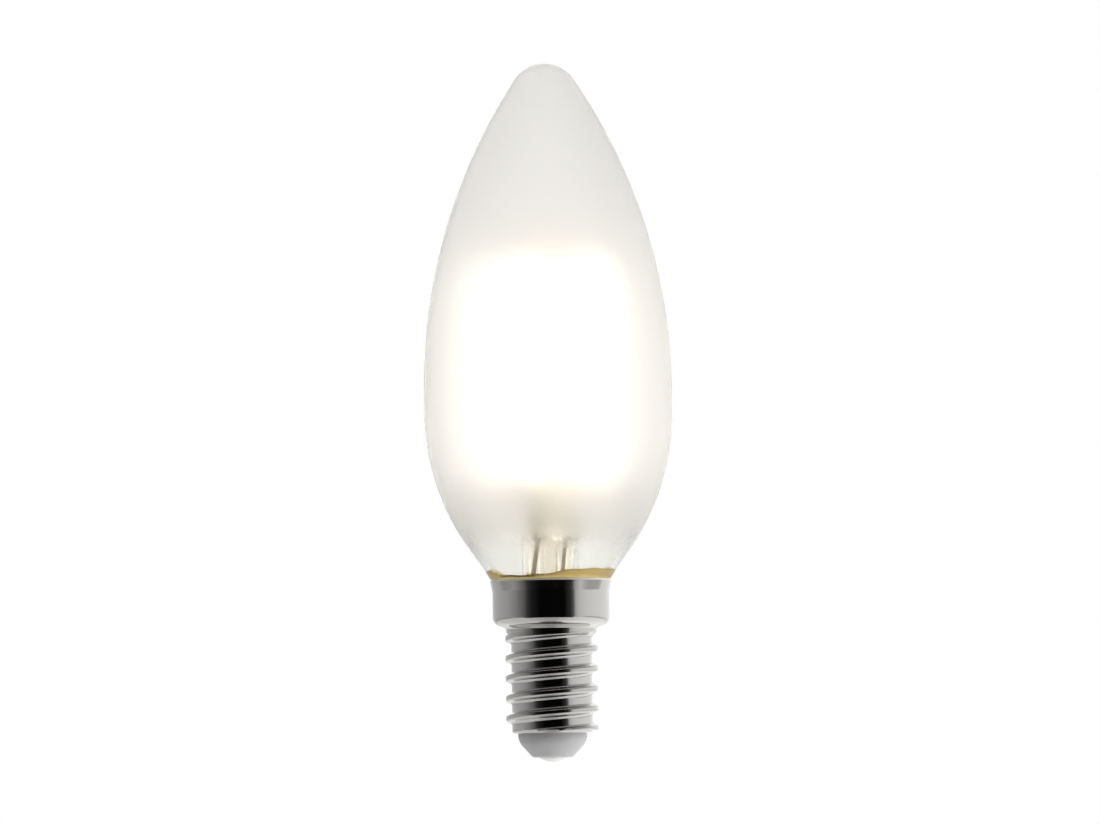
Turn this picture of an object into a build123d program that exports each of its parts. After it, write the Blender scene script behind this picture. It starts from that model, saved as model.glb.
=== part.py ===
from build123d import *
from math import atan2, cos, degrees, hypot, radians, sin, sqrt, tan
import os

# Frosted candle bulb with LED filaments on a 14 mm screw cap.
# Millimetres. +Z runs up the bulb's axis from the tip of the centre contact at the origin,
# -Y is the front and +X the right. The bulb is round about Z. The stem is drawn with its leads to the left
# and right; it is then turned about Z with the filaments and the driver.

# Blown bulb
overall_length = 98.5
bulb_diameter = 35.0
bulb_wall = 0.7
tip_radius = 5.0
belly_above_rim = 23.6
belly_band = 3.1
cone_angle = 35.5
neck_depth = 5.0
neck_fillet = 3.0

# Screw cap: pressed shell with a plain skirt round the neck
cap_height = 25.7
skirt_diameter = 16.5
skirt_height = 6.5
skirt_corner = 1.0
lip_height = 1.2
lip_flare = 0.3
sheet = 0.2
thread_diameter = 13.3
thread_depth = 0.85
thread_pitch = 2.822
thread_phase = 1.87
crest_width = 0.82
flank_angle = 30.0
foot_height = 4.0
foot_bevel = 0.6

# Insulator and centre contact
insulator_diameter = 9.7
insulator_foot_diameter = 5.6
insulator_land = 1.1
flange_thickness = 1.0
flange_clearance = 0.25
contact_diameter = 3.8
contact_rise = 0.62
pin_diameter = 1.7
pin_stand = 0.35
wire_cup_depth = 1.2

# Cement between neck and skirt
cement_gap = 0.3
cement_depth = 4.0
lip_clearance = 0.05
bead_height = 0.75
bead_film = 0.15
bead_tilt = 3.0

# Glass stem
mount_turn = 26.5
tube_diameter = 8.0
tube_wall = 0.9
flare_height = 4.0
press_above_rim = 6.9
press_rise = 2.4
press_width = 6.6
press_thickness = 3.6
press_height = 4.3
post_diameter = 3.0
exhaust_diameter = 2.8
exhaust_wall = 0.7
exhaust_tail = 3.2
blow_hole_diameter = 1.0

# Wires
lead_diameter = 0.6
lead_clearance = 0.1
support_diameter = 0.6
cup_clearance = 0.05
lead_bend_radius = 1.0
lead_stand = 0.6
lead_lap = 2.5
live_lap = 1.8

# LED filaments
lead_rise = 1.6
headroom = 27.0
spread_low = 5.4
spread_top = 4.7
filament_depth = 4.7
strip_width = 1.0
strip_thickness = 0.3
tab_length = 2.2
coat_width = 2.0
coat_thickness = 1.7
post_overrun = 1.0
bridge_spacing = 0.9

# Driver in the cap
board_thickness = 0.8
board_margin = 0.5
board_clearance = 0.7
capacitor_gap = 0.05
capacitor_margin = 1.1
rectifier_width = 3.9
rectifier_height = 3.2
rectifier_depth = 1.4
regulator_width = 2.6
regulator_height = 2.9
regulator_depth = 1.2
chip_gap = 0.6
leg_width = 0.5
leg_reach = 0.7
leg_thickness = 0.2

# Heights that the pieces share
step_z = cap_height - skirt_height
neck_foot_z = cap_height - neck_depth
belly_z = cap_height + belly_above_rim
press_z = cap_height + press_above_rim
press_top_z = press_z + press_height
strip_foot_z = press_top_z + lead_rise
strip_top_z = overall_length - headroom
insulator_top_z = foot_height + sheet + flange_thickness
pin_top_z = insulator_top_z + pin_stand
exhaust_tip_z = neck_foot_z - exhaust_tail
board_foot_z = insulator_top_z + board_clearance
board_top_z = exhaust_tip_z - board_clearance

# Radii that the pieces share
skirt_radius = skirt_diameter / 2
lip_radius = skirt_radius + lip_flare
skirt_bore = skirt_radius - sheet
lip_bore = lip_radius - sheet
crest = thread_diameter / 2
root = crest - thread_depth
bore = root - sheet
insulator_radius = insulator_diameter / 2
pin_radius = pin_diameter / 2
neck_radius = skirt_bore - cement_gap
cone_rim_radius = lip_bore - lip_clearance
tube_radius = tube_diameter / 2
exhaust_radius = exhaust_diameter / 2
lead_radius = lead_diameter / 2
support_radius = support_diameter / 2
tube_bore = tube_radius - tube_wall
lead_x = (exhaust_radius + tube_bore) / 2
lead_lean = (tube_bore - exhaust_radius) / 2 - lead_radius - lead_clearance

# The two sides of the lamp, and the front and the back
sides = {"left": -1, "right": 1}
depths = {"front": -1, "back": 1}


def turned(*edges):
    """Solid turned about Z from a closed half section, drawn as (radius, height)."""
    return revolve(Plane.XZ * make_face(edges), Axis.Z)


def turned_polygon(*points):
    """Solid turned about Z from a half section with straight edges."""
    return turned(*Polyline(*points, close=True).edges())


def bulb_outline(inset):
    """Half outline of the bulb set in by inset, as arcs and lines from the neck's foot up to the tip."""
    slope = radians(cone_angle)
    belly = bulb_diameter / 2
    tip_centre = Vector(0, overall_length - tip_radius)

    # The side arc is upright at the belly and runs into the tip's arc
    belly_top_z = belly_z + belly_band
    rise = tip_centre.Y - belly_top_z
    side_radius = (belly**2 + rise**2 - tip_radius**2) / (2 * (belly - tip_radius))
    side_centre = Vector(belly - side_radius, belly_top_z)
    side_turn = degrees(atan2(rise, side_radius - belly))

    # The shoulder arc is upright at the belly and runs into the cone that seats in the cap's lip
    reach = belly_above_rim * sin(slope) - (belly - cone_rim_radius) * cos(slope)
    shoulder_radius = reach / (1 - cos(slope))
    shoulder_centre = Vector(belly - shoulder_radius, belly_z)

    # The throat arc runs from the cone into the straight neck
    throat_out = neck_radius + neck_fillet * (1 - cos(slope)) - cone_rim_radius
    throat_z = cap_height - neck_fillet * sin(slope) + throat_out / tan(slope)
    throat_centre = Vector(neck_radius + neck_fillet, throat_z)

    neck_r = neck_radius - inset
    neck = Line((neck_r, neck_foot_z), (neck_r, throat_z))
    throat = CenterArc(throat_centre, neck_fillet + inset, 180, -cone_angle)
    shoulder = CenterArc(shoulder_centre, shoulder_radius - inset, -cone_angle, cone_angle)
    cone = Line(throat @ 1, shoulder @ 0)
    side = CenterArc(side_centre, side_radius - inset, 0, side_turn)
    band = Line(shoulder @ 1, side @ 0)
    tip = CenterArc(tip_centre, tip_radius - inset, side_turn, 90 - side_turn)
    return [neck, throat, cone, shoulder, band, side, tip]


def make_glass_envelope():
    outer = bulb_outline(0)
    inner = bulb_outline(bulb_wall)
    foot = Line(inner[0] @ 0, outer[0] @ 0)
    crown = Line(outer[-1] @ 1, inner[-1] @ 1)
    return turned(*outer, crown, *inner, foot)


def make_bulb_core():
    """The bulb as if it were solid glass, for cutting what closes round it."""
    outer = bulb_outline(0)
    axis = Line(outer[-1] @ 1, (0, neck_foot_z))
    foot = Line((0, neck_foot_z), outer[0] @ 0)
    return turned(*outer, axis, foot)


def make_thread_ridge():
    """One long ridge wound right-handed round the shell, from the bevelled foot up into the skirt's step."""
    half_crest = crest_width / 2
    buried = root - sheet / 2
    half_base = half_crest + (crest - buried) * tan(radians(flank_angle))
    section = make_face(
        Polyline(
            (crest, half_crest),
            (buried, half_base),
            (buried, -half_base),
            (crest, -half_crest),
            close=True,
        ).edges()
    )
    rise = step_z + sheet / 2 - half_base - thread_phase
    winding = Helix(thread_pitch, rise, crest, (0, 0, thread_phase))
    ridge = sweep(Plane.XZ * Pos(0, thread_phase) * section, winding, is_frenet=True)
    return split(ridge, Plane.XY.offset(foot_height + foot_bevel), Keep.TOP)


def make_cap_shell():
    """Pressed sheet from the flared lip down to the turned-in foot, with the thread's ridge on it."""
    lip_foot_z = cap_height - lip_height
    lip = Polyline((skirt_radius, lip_foot_z), (lip_radius, cap_height), (lip_bore, cap_height))
    inside = Polyline(
        lip @ 1,
        (skirt_bore, lip_foot_z),
        (skirt_bore, step_z + sheet),
        (bore, step_z + sheet),
        (bore, foot_height + sheet),
        (insulator_radius, foot_height + sheet),
        (insulator_radius, foot_height),
        (root - foot_bevel, foot_height),
    )
    outside = Polyline(
        inside @ 1,
        (root, foot_height + foot_bevel),
        (root, step_z),
        (skirt_radius - skirt_corner, step_z),
    )
    corner = RadiusArc(outside @ 1, (skirt_radius, step_z + skirt_corner), -skirt_corner)
    skirt = Line(corner @ 1, lip @ 0)
    shell = turned(*lip.edges(), *inside.edges(), *outside.edges(), corner, skirt)
    return shell + make_thread_ridge()


def make_cap_insulator():
    foot_radius = insulator_foot_diameter / 2
    flange_radius = bore - flange_clearance
    return turned_polygon(
        (pin_radius, contact_rise),
        (foot_radius, contact_rise),
        (insulator_radius, foot_height - insulator_land),
        (insulator_radius, foot_height + sheet),
        (flange_radius, foot_height + sheet),
        (flange_radius, insulator_top_z),
        (pin_radius, insulator_top_z),
    )


def make_centre_contact():
    """Domed button with a pin through the insulator and a cup for the live wire in the pin's top."""
    head_radius = contact_diameter / 2
    dome_radius = (head_radius**2 + contact_rise**2) / (2 * contact_rise)
    cup_radius = support_radius + cup_clearance
    cup_z = pin_top_z - wire_cup_depth
    dome = RadiusArc((0, 0), (head_radius, contact_rise), -dome_radius)
    pin = Polyline(
        (head_radius, contact_rise),
        (pin_radius, contact_rise),
        (pin_radius, pin_top_z),
        (cup_radius, pin_top_z),
        (cup_radius, cup_z),
        (0, cup_z),
        (0, 0),
    )
    return turned(dome, *pin.edges())


def make_capping_cement(bulb_core):
    """Resin ring between neck and skirt; what was squeezed out stands above the rim, higher on the right."""
    slope = tan(radians(cone_angle))
    film_radius = lip_bore + bead_film
    bead_top_z = cap_height + 2 * bead_height
    ring = turned_polygon(
        (neck_radius - bulb_wall, cap_height - cement_depth),
        (skirt_bore, cap_height - cement_depth),
        (skirt_bore, cap_height - lip_height),
        (lip_bore, cap_height),
        (film_radius, cap_height),
        (film_radius + (bead_top_z - cap_height) * slope, bead_top_z),
        (neck_radius - bulb_wall, bead_top_z),
    )
    bead_top = Plane((0, 0, cap_height + bead_height)).rotated((0, -bead_tilt, 0))
    return split(ring - bulb_core, bead_top, Keep.BOTTOM)


def make_glass_stem(wires):
    """Flared tube pinched shut round the leads, with an exhaust tube inside and a post on top."""
    flare_radius = neck_radius - bulb_wall
    flare_top_z = neck_foot_z + flare_height
    tube = turned_polygon(
        (flare_radius, neck_foot_z),
        (flare_radius, neck_foot_z + tube_wall),
        (tube_radius, flare_top_z),
        (tube_radius, press_z),
        (0, press_z),
        (0, press_z - tube_wall),
        (tube_bore, press_z - tube_wall),
        (tube_bore, flare_top_z),
        (flare_radius - tube_wall, neck_foot_z),
    )

    press = loft(
        [
            Plane.XY.offset(press_z) * Circle(tube_radius),
            Plane.XY.offset(press_z + press_rise) * Ellipse(press_width / 2, press_thickness / 2),
            Plane.XY.offset(press_top_z) * Circle(post_diameter / 2),
        ]
    )
    post_radius = post_diameter / 2
    post_top_z = strip_top_z + post_overrun
    post = turned(
        Line((0, press_top_z), (post_radius, press_top_z)),
        Line((post_radius, press_top_z), (post_radius, post_top_z)),
        CenterArc((0, post_top_z), post_radius, 0, 90),
        Line((0, post_top_z + post_radius), (0, press_top_z)),
    )
    tail_z = exhaust_tip_z + exhaust_diameter
    exhaust = turned_polygon(
        (0, exhaust_tip_z),
        (exhaust_radius, tail_z),
        (exhaust_radius, press_z - tube_wall),
        (0, press_z - tube_wall),
    )
    bore_radius = exhaust_radius - exhaust_wall
    blow_hole_z = press_z + blow_hole_diameter
    exhaust_bore = Pos(0, 0, tail_z) * Cylinder(
        bore_radius, blow_hole_z - tail_z, align=(Align.CENTER, Align.CENTER, Align.MIN)
    )
    blow_hole = Plane((0, 0, blow_hole_z), z_dir=(0, 1, 0)) * Cylinder(
        blow_hole_diameter / 2, tube_diameter, align=(Align.CENTER, Align.CENTER, Align.MIN)
    )
    stem = tube + press + post + exhaust - exhaust_bore - blow_hole
    for wire in wires:
        stem = stem - wire
    return stem


def strip_plane(side):
    """Plane at the foot of a strip's centre line: X out of its face, Z up along it."""
    foot = Vector(side * spread_low, 0, strip_foot_z)
    top = Vector(side * spread_top, 0, strip_top_z)
    along = (top - foot).normalized()
    return Plane(foot, x_dir=Vector(along.Z, 0, -along.X), z_dir=along)


def strip_length():
    return hypot(strip_top_z - strip_foot_z, spread_low - spread_top)


def make_filament_strip(side, depth):
    """Chip carrier whose bare ends are the terminals."""
    upright = (Align.CENTER, Align.CENTER, Align.MIN)
    strip = Box(strip_thickness, strip_width, strip_length(), align=upright)
    return Pos(0, depth * filament_depth, 0) * strip_plane(side) * strip


def make_filament_coat(side, depth, strip):
    """Phosphor silicone moulded round the strip, short of both terminals."""
    section = Ellipse(coat_thickness / 2, coat_width / 2)
    rod = extrude(Pos(0, 0, tab_length) * section, strip_length() - 2 * tab_length)
    return Pos(0, depth * filament_depth, 0) * strip_plane(side) * rod - strip


def cross_wire_centre(side):
    """Middle of the wire that joins a side's two lower terminals, against their inner faces."""
    inward = -side * (strip_thickness / 2 + support_radius)
    return (strip_plane(side) * Pos(inward, 0, tab_length / 2)).position


def make_cross_wire(side):
    length = 2 * filament_depth + strip_width
    return Plane(cross_wire_centre(side), z_dir=(0, 1, 0)) * Cylinder(support_radius, length)


def make_lead_wire(side):
    """Up from the driver board, leaning to the right in the tube, through the press and out to the cross wire."""
    low_x = side * lead_x - lead_lean
    high_x = side * lead_x + lead_lean
    foot = Vector(low_x, 0, board_top_z - lead_lap)
    lean_foot = Vector(low_x, 0, cap_height)
    lean_top = Vector(high_x, 0, press_z - tube_wall)
    bend = Vector(high_x, 0, press_top_z + lead_stand)
    target = cross_wire_centre(side)
    end = target - (target - bend).normalized() * support_radius
    path = Polyline(foot, lean_foot, lean_top) + FilletPolyline(lean_top, bend, end, radius=lead_bend_radius)
    return sweep(Plane(foot) * Circle(lead_radius), path, transition=Transition.RIGHT)


def make_bridge_wire(side, strips):
    """Straight wire through the post between the faces of two upper terminals diagonally across."""
    level = strip_top_z - tab_length / 2 + side * bridge_spacing / 2
    reach = Vector(2 * spread_top, side * 2 * filament_depth, 0)
    wire = Plane((0, 0, level), z_dir=reach) * Cylinder(support_radius, reach.length)
    for strip in strips:
        wire = wire - strip
    return wire.solids().sort_by(SortBy.VOLUME)[-1]


def make_driver_board():
    front = lead_radius
    back = front + board_thickness
    half_width = sqrt((bore - board_margin) ** 2 - back**2)
    board = Box(2 * half_width, board_thickness, board_top_z - board_foot_z)
    return Pos(0, (front + back) / 2, (board_top_z + board_foot_z) / 2) * board


def make_chip(width, depth, height, centre_x):
    """Moulded package with two pairs of flat legs, on the back of the board below the leads' ends."""
    back = lead_radius + board_thickness
    middle_z = board_top_z - lead_lap - chip_gap - leg_reach - height / 2
    on_board = (Align.CENTER, Align.MIN, Align.CENTER)
    chip = Box(width, depth, height, align=on_board)
    leg = Box(leg_width, leg_thickness, height + 2 * leg_reach, align=on_board)
    for end in sides.values():
        chip = chip + Pos(end * (width / 2 - leg_width), 0, 0) * leg
    return Pos(centre_x, back, middle_z) * chip


def make_smoothing_capacitor():
    """Round can lying against the board's front, clear of the live wire below it."""
    front = lead_radius - capacitor_gap
    radius = (front + bore - capacitor_margin) / 2
    foot_z = board_foot_z + live_lap + board_clearance
    can = Cylinder(radius, board_top_z - foot_z, align=(Align.CENTER, Align.CENTER, Align.MIN))
    return Pos(0, front - radius, foot_z) * can


def make_live_wire():
    foot_z = pin_top_z - wire_cup_depth
    length = board_foot_z + live_lap - foot_z
    return Pos(0, 0, foot_z) * Cylinder(support_radius, length, align=(Align.CENTER, Align.CENTER, Align.MIN))


def make_neutral_wire():
    """From the board's back, across to the shell's inner wall."""
    centre_y = lead_radius + board_thickness + support_radius
    wall_x = sqrt(bore**2 - (centre_y + support_radius) ** 2)
    length = wall_x - lead_x
    wire = Plane((-wall_x, centre_y, board_top_z - board_clearance), z_dir=(1, 0, 0)) * Cylinder(
        support_radius, length, align=(Align.CENTER, Align.CENTER, Align.MIN)
    )
    return wire


def build_mount():
    """The stem with its filaments, wires and driver, drawn with the leads to the left and right."""
    pieces = {}
    strips = {}
    for side_name, side in sides.items():
        for depth_name, depth in depths.items():
            place = f"{side_name}_{depth_name}"
            strips[place] = make_filament_strip(side, depth)
            pieces[f"filament_strip_{place}"] = strips[place]
            pieces[f"filament_coat_{place}"] = make_filament_coat(side, depth, strips[place])

    leads = {f"lead_wire_{name}": make_lead_wire(side) for name, side in sides.items()}
    crosses = {f"cross_wire_{name}": make_cross_wire(side) for name, side in sides.items()}
    bridges = {
        "bridge_wire_lower": make_bridge_wire(-1, strips.values()),
        "bridge_wire_upper": make_bridge_wire(1, strips.values()),
    }
    pieces |= leads | crosses | bridges
    pieces["glass_stem"] = make_glass_stem([*leads.values(), *bridges.values()])

    pieces["driver_board"] = make_driver_board()
    chip_x = (rectifier_width + chip_gap) / 2
    pieces["bridge_rectifier"] = make_chip(rectifier_width, rectifier_depth, rectifier_height, -chip_x)
    chip_x = (regulator_width + chip_gap) / 2
    pieces["current_regulator"] = make_chip(regulator_width, regulator_depth, regulator_height, chip_x)
    pieces["smoothing_capacitor"] = make_smoothing_capacitor()
    pieces["live_wire"] = make_live_wire()
    pieces["neutral_wire"] = make_neutral_wire()
    return pieces


def build():
    """Every piece of the lamp by name."""
    pieces = {
        "glass_envelope": make_glass_envelope(),
        "cap_shell": make_cap_shell(),
        "cap_insulator": make_cap_insulator(),
        "centre_contact": make_centre_contact(),
        "capping_cement": make_capping_cement(make_bulb_core()),
    }
    for name, piece in build_mount().items():
        pieces[name] = Rot(0, 0, mount_turn) * piece
    return pieces


if __name__ == "__main__":
    os.makedirs("parts", exist_ok=True)
    for name, piece in build().items():
        export_step(piece, f"parts/{name}.step")
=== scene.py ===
from math import atan2, cos, hypot, pi, radians, sin, tan

import bmesh
import bpy
from bpy.props import FloatProperty, FloatVectorProperty, PointerProperty
from mathutils import Matrix, Vector


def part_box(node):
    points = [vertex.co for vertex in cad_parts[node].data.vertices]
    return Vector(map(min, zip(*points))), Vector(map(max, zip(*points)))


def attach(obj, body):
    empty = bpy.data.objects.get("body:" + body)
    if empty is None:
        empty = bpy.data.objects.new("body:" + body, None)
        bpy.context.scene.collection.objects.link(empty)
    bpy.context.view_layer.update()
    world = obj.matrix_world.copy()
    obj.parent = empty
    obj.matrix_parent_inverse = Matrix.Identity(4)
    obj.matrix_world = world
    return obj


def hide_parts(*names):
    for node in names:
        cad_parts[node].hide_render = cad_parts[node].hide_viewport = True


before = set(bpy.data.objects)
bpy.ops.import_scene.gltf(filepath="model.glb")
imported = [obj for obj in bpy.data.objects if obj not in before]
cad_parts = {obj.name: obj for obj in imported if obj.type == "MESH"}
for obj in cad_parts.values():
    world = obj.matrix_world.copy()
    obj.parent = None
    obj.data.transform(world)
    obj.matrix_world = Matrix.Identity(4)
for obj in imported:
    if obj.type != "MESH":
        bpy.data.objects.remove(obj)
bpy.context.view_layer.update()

bl_info = {
    "name": "Frosted candle bulb",
    "version": (1, 0, 0),
    "blender": (4, 5, 0),
    "location": "View3D > Sidebar > Candle bulb",
    "description": "Dresses the bulb's solids with blown glass, plated cap, resin, filaments and a stage",
    "category": "Object",
}

# Boxes of the solids, in metres, straight after loading
glass_low, glass_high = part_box("glass_envelope")
shell_low, shell_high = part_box("cap_shell")
insulator_low, insulator_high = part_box("cap_insulator")
contact_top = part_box("centre_contact")[1].z
stem_low, stem_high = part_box("glass_stem")
cement_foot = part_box("capping_cement")[0].z

MM = 0.001
WELD = 1e-6
NEAR = 5 * WELD
UP = Vector((0, 0, 1))


def linear(code):
    """Linear RGBA of an sRGB hex colour."""
    channels = [int(code[i : i + 2], 16) / 255 for i in (1, 3, 5)]
    return tuple(c / 12.92 if c <= 0.04045 else ((c + 0.055) / 1.055) ** 2.4 for c in channels) + (1.0,)


def length_prop(name, description, default):
    return FloatProperty(
        name=name, description=description, default=default, subtype="DISTANCE", unit="LENGTH"
    )


def angle_prop(name, description, default):
    return FloatProperty(
        name=name, description=description, default=default, subtype="ANGLE", unit="ROTATION"
    )


def colour_prop(name, description, code):
    return FloatVectorProperty(
        name=name, description=description, default=linear(code), size=4, min=0, max=1, subtype="COLOR"
    )


def share_prop(name, description, default):
    return FloatProperty(name=name, description=description, default=default, min=0, max=1, subtype="FACTOR")


class CandleGlass(bpy.types.PropertyGroup):
    overall_length: length_prop("Overall length", "From the contact's tip to the glass tip", glass_high.z)
    diameter: length_prop("Bulb diameter", "Across the belly", glass_high.x - glass_low.x)
    wall: length_prop("Wall", "Thickness of the blown glass", 0.7 * MM)
    tip_radius: length_prop("Tip radius", "Rounding of the flame's tip", 5.0 * MM)
    belly_above_rim: length_prop("Belly height", "Widest place above the cap's rim", 23.6 * MM)
    belly_band: length_prop("Belly band", "Height over which the belly is straight", 3.1 * MM)
    cone_angle: angle_prop("Cone angle", "Slope of the glass above the rim", radians(35.5))
    neck_radius: length_prop("Neck radius", "Straight neck inside the cap", 7.75 * MM)
    neck_fillet: length_prop("Neck fillet", "Turn from neck to cone", 3.0 * MM)
    rim_radius: length_prop("Radius at rim", "Cone radius level with the cap's rim", 8.30 * MM)
    frost_start: length_prop("Frost start", "Height at which the frosting begins", 31.0 * MM)
    frost_edge: length_prop("Frost edge", "Half height of the frosting's soft edge", 3.3 * MM)
    frost: share_prop("Frost", "Roughness of the coated inside", 0.62)
    satin: share_prop("Satin", "Roughness of the outside above the neck", 0.6)
    thin_frost: share_prop("Thin frost", "Share of that roughness where the frosting begins", 0.64)
    colour: colour_prop("Glass colour", "Tint of the bare glass", "#f5f5f1")
    frost_colour: colour_prop("Frost colour", "Tint of the frosted glass", "#fffefc")
    # Painted light: the frost round the stem is tinted warmer, standing for the golden resin and the
    # filaments' warm light reflected there
    painted_warm_light: colour_prop("Neck colour", "Tint of the frosted glass round the stem", "#fffdf8")
    warm_top: length_prop("Neck tint", "Height at which the warmer tint ends", 44 * MM)


class CandleStem(bpy.types.PropertyGroup):
    tube_radius: length_prop("Tube radius", "Outside of the stem tube", 4.0 * MM)
    tube_wall: length_prop("Tube wall", "Thickness of the stem tube", 0.9 * MM)
    flare_top: length_prop("Flare top", "Where the flare runs into the tube", 24.7 * MM)
    press_foot: length_prop("Press foot", "Where the tube starts to close", 32.6 * MM)
    press_middle: length_prop("Press middle", "Height of the flattest place", 35.0 * MM)
    press_top: length_prop("Press top", "Where the post starts", 36.9 * MM)
    press_half_width: length_prop("Press half width", "Left to right at the flattest place", 3.3 * MM)
    press_half_depth: length_prop("Press half depth", "Front to back at the flattest place", 1.8 * MM)
    post_radius: length_prop("Post radius", "Glass post between the filaments", 1.5 * MM)
    exhaust_radius: length_prop("Exhaust radius", "Outside of the exhaust tube", 1.4 * MM)
    exhaust_wall: length_prop("Exhaust wall", "Thickness of the exhaust tube", 0.7 * MM)
    blow_hole_height: length_prop("Blow hole", "Top of the exhaust tube's bore", 33.6 * MM)
    # Both tints are warm: partly the seals' own colour, partly painted light for the golden resin and
    # filament light reflected on the stem
    colour: colour_prop("Stem glass", "Tint of the stem", "#fefcf8")
    seal_and_painted_warmth: colour_prop("Seal", "Tint of the press round the oxidised wires", "#fff8e6")


class CandleCap(bpy.types.PropertyGroup):
    rim_height: length_prop("Rim height", "Top of the skirt's lip", shell_high.z)
    lip_radius: length_prop("Lip radius", "Outside of the flared lip", 8.55 * MM)
    lip_height: length_prop("Lip height", "Height of the flare", 1.85 * MM)
    rim_edge: length_prop("Rim edge", "Height of the slanted cut edge of the rim", 0.3 * MM)
    skirt_radius: length_prop("Skirt radius", "Outside of the plain skirt", 8.25 * MM)
    skirt_corner: length_prop("Skirt corner", "Rounding at the skirt's foot", 1.3 * MM)
    step_height: length_prop("Step height", "Where the skirt's underside meets the collar", 18.97 * MM)
    step_slope: angle_prop("Step slope", "Fall of the skirt's underside towards the collar", radians(17))
    sheet: length_prop("Sheet", "Thickness of the pressed sheet", 0.2 * MM)
    crest: length_prop("Crest radius", "Outside of the thread", 6.55 * MM)
    thread_depth: length_prop("Thread depth", "Crest to root", 0.86 * MM)
    pitch: length_prop("Pitch", "Rise of the thread in one turn", 2.822 * MM)
    phase: length_prop("Phase", "Height of a crest on the right, below the foot", 2.03 * MM)
    crest_land: length_prop("Crest land", "Straight part of the crest", 0.2 * MM)
    low_crest_round: length_prop("Lower crest rounding", "Radius of the crest's lower half", 0.55 * MM)
    low_root_round: length_prop("Lower root rounding", "Radius below the lower flank", 0.72 * MM)
    low_bend: angle_prop("Lower bend", "Slope at which these two roundings end", radians(39))
    tight_round: length_prop("Tight rounding", "Radius between them and the lower flank", 0.2 * MM)
    low_flank: angle_prop("Lower flank", "Angle of the lower flank to the axis", radians(72))
    high_crest_round: length_prop("Upper crest rounding", "Radius of the crest's upper half", 0.28 * MM)
    high_root_round: length_prop("Upper root rounding", "Radius above the upper flank", 0.35 * MM)
    high_flank: angle_prop("Upper flank", "Angle of the upper flank to the axis", radians(66))
    run_out: length_prop("Run-out", "Height at which the groove fades out under the skirt", 17.9 * MM)
    run_out_radius: length_prop("Run-out radius", "Plain collar above the thread", 6.4 * MM)
    foot_height: length_prop("Foot height", "Underside of the shell", shell_low.z)
    foot_bevel: length_prop("Foot rounding", "Turn at the shell's foot", 0.45 * MM)
    metal: colour_prop("Plating", "Colour of the nickel plating", "#dbd9d6")


class CandleFoot(bpy.types.PropertyGroup):
    insulator_radius: length_prop("Insulator radius", "Widest visible place of the insulator", 4.85 * MM)
    insulator_foot: length_prop("Insulator foot", "Radius of its flat end", 2.8 * MM)
    insulator_land: length_prop("Land", "Straight side under the shell", 1.1 * MM)
    flange_radius: length_prop("Flange radius", "Part inside the shell", 5.35 * MM)
    contact_radius: length_prop("Contact radius", "Radius of the domed contact", 1.9 * MM)
    pin_radius: length_prop("Pin radius", "Contact's pin through the insulator", 0.85 * MM)
    plastic: colour_prop("Insulator", "Colour of the moulded insulator", "#a4a3a5")
    tin: colour_prop("Contact", "Colour of the tinned contact", "#ecebe8")


class CandleCement(bpy.types.PropertyGroup):
    film: length_prop("Film", "Thickness of the resin squeezed out on the glass", 0.16 * MM)
    bead: length_prop("Bead height", "Height of the resin above the rim where it is thin", 0.5 * MM)
    run: length_prop("Run", "How much higher the resin stands on the right", 0.75 * MM)
    corner: length_prop("Corner", "How much higher the resin stands at the far left", 0.7 * MM)
    colour: colour_prop("Resin", "Colour of the hardened resin", "#fbe9a4")
    streak: colour_prop("Resin streaks", "Colour of its darker streaks", "#e6c972")


class CandleFilament(bpy.types.PropertyGroup):
    mount_turn: angle_prop("Mount turn", "Turn of the stem and its filaments in the cap", radians(26.5))
    spread_low: length_prop("Spread below", "From the mount's middle to a filament's foot", 5.4 * MM)
    spread_top: length_prop("Spread above", "From the mount's middle to a filament's top", 4.7 * MM)
    depth: length_prop("Depth", "Distance in front of and behind the axis", 4.7 * MM)
    foot_height: length_prop("Foot", "Lower end of the carrier strips", 38.5 * MM)
    top_height: length_prop("Top", "Upper end of the carrier strips", 71.5 * MM)
    tab: length_prop("Bare end", "Length of strip left bare", 2.2 * MM)
    half_width: length_prop("Half width", "Coating across the strip", 1.0 * MM)
    half_thickness: length_prop("Half thickness", "Coating out of the strip", 0.85 * MM)
    chip_pitch: length_prop("Chip spacing", "Distance between the chips under the coating", 1.1 * MM)
    phosphor: colour_prop("Phosphor", "Colour of the unlit coating", "#f0cf86")
    glow: colour_prop("Glow", "Colour of the light", "#fff9f3")
    strength: FloatProperty(name="Strength", description="Brightness of the lit coating", default=4.4, min=0)


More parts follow.
